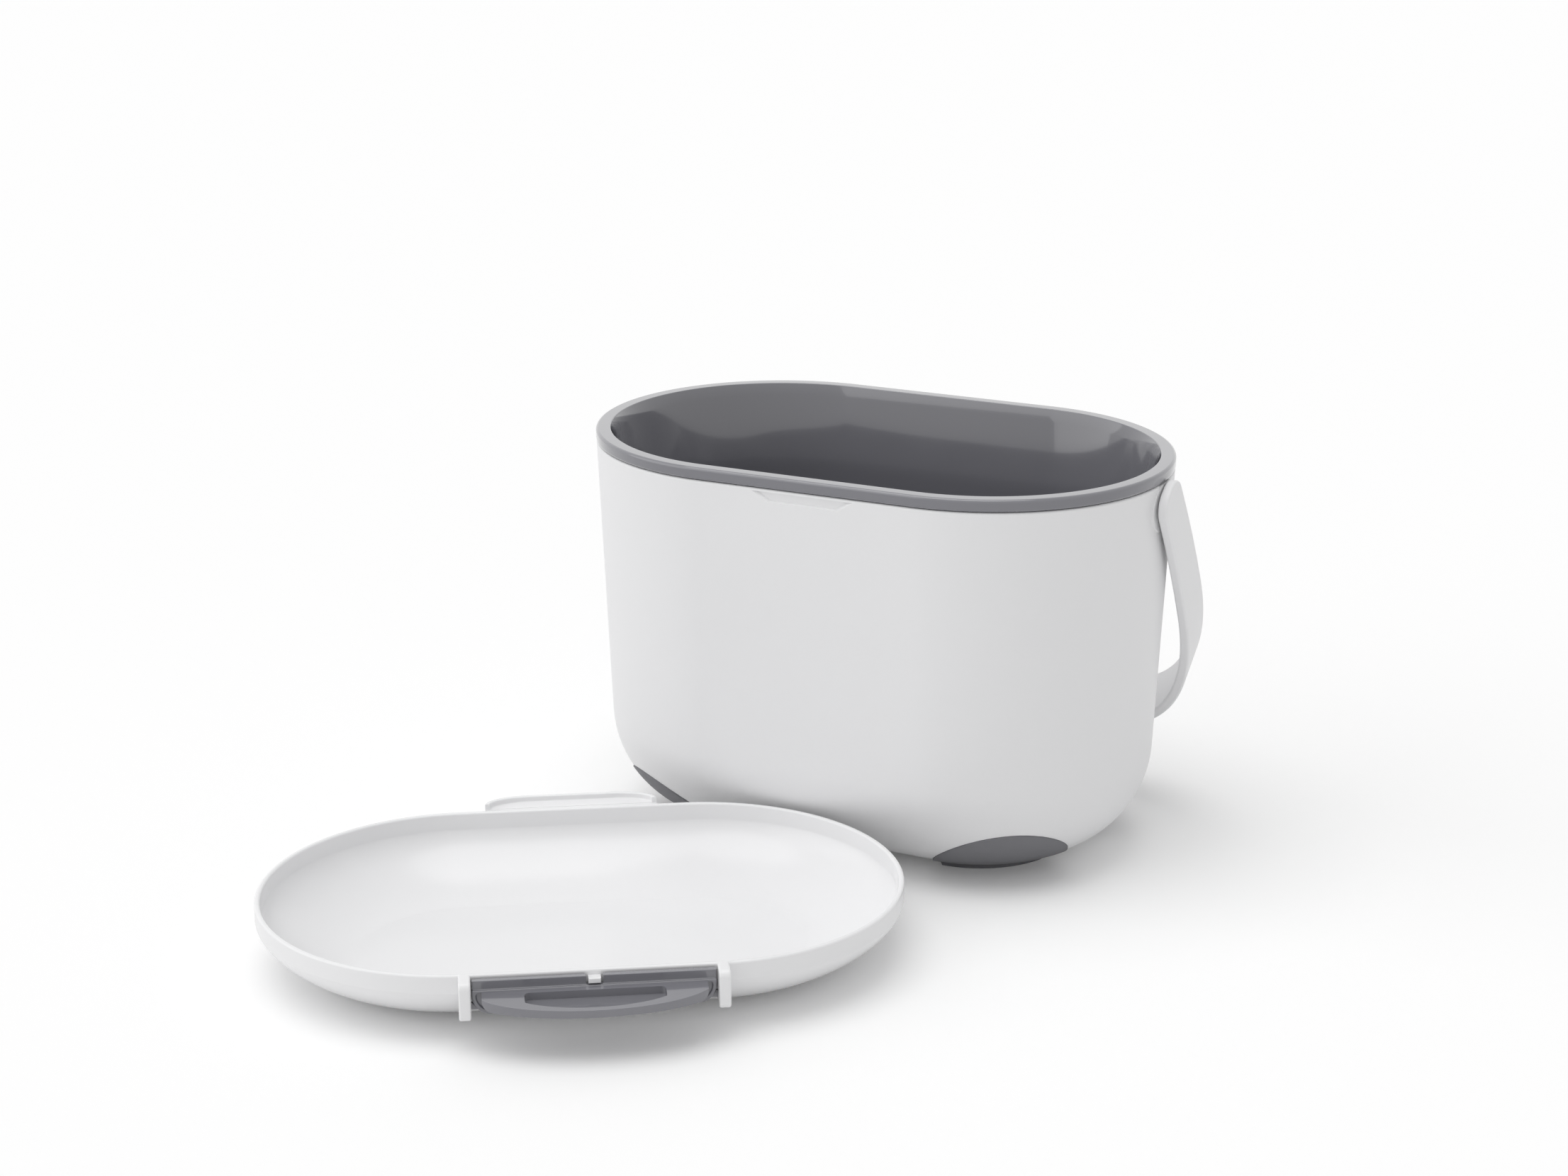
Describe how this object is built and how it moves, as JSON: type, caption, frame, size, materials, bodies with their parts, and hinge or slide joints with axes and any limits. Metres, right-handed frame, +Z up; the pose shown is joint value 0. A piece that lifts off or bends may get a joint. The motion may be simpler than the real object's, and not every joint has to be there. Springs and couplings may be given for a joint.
{
  "type": "compost caddy",
  "caption": "Oval kitchen compost caddy with a lift-out liner, a swinging bail handle, soft feet and a separate lid with a pull latch, shown open with the lid lying upside down.",
  "frame": {"origin": "Centre of the bucket's flat underside, under the middle of its oval plan; the soft feet reach 2.2 mm below it to the table.", "axes": "+Z up. +X to the right along the bucket's long side, from one handle pivot to the other. +Y to the back, away from the lid: the handle hangs at the back and the lid lies upside down in front, towards -Y."},
  "size_m": [0.2962, 0.3773, 0.172],
  "materials": {
    "shell_white": "satin white plastic",
    "lid_white": "smooth white plastic with a soft gloss",
    "liner_grey": "smooth mid-grey plastic",
    "latch_grey": "smooth grey plastic",
    "foot_grey": "soft matt dark grey"
  },
  "bodies": {
    "bucket": {"outer_bucket": "shell_white", "foot_front_right": "foot_grey", "foot_front_left": "foot_grey", "foot_rear_right": "foot_grey", "foot_rear_left": "foot_grey", "pivot_stud_right": "shell_white", "pivot_stud_left": "shell_white"},
    "handle": {"bail_handle": "shell_white"},
    "liner_body": {"liner": "liner_grey"},
    "lid_body": {"lid": "lid_white"},
    "latch_body": {"latch": "latch_grey"}
  },
  "joints": [
    {"name": "handle_swing", "type": "hinge", "parent": "bucket", "child": "handle", "pos_m": [0, 0, 0.1547], "axis": [1, 0, 0], "range_deg": [0, 283]},
    {"name": "liner_lift", "type": "slide", "parent": "bucket", "child": "liner_body", "axis": [0, 0, 1], "range_m": [0, 0.165]},
    {"name": "lid_lift", "type": "slide", "parent": "bucket", "child": "lid_body", "axis": [0, -0.1736, 0.9848], "range_m": [0, 0.2]},
    {"name": "latch_swing", "type": "hinge", "parent": "lid_body", "child": "latch_body", "pos_m": [-0.00429, -0.24572, 0.0152], "axis": [0.8443, 0.5358, 0], "range_deg": [0, 78]}
  ]
}
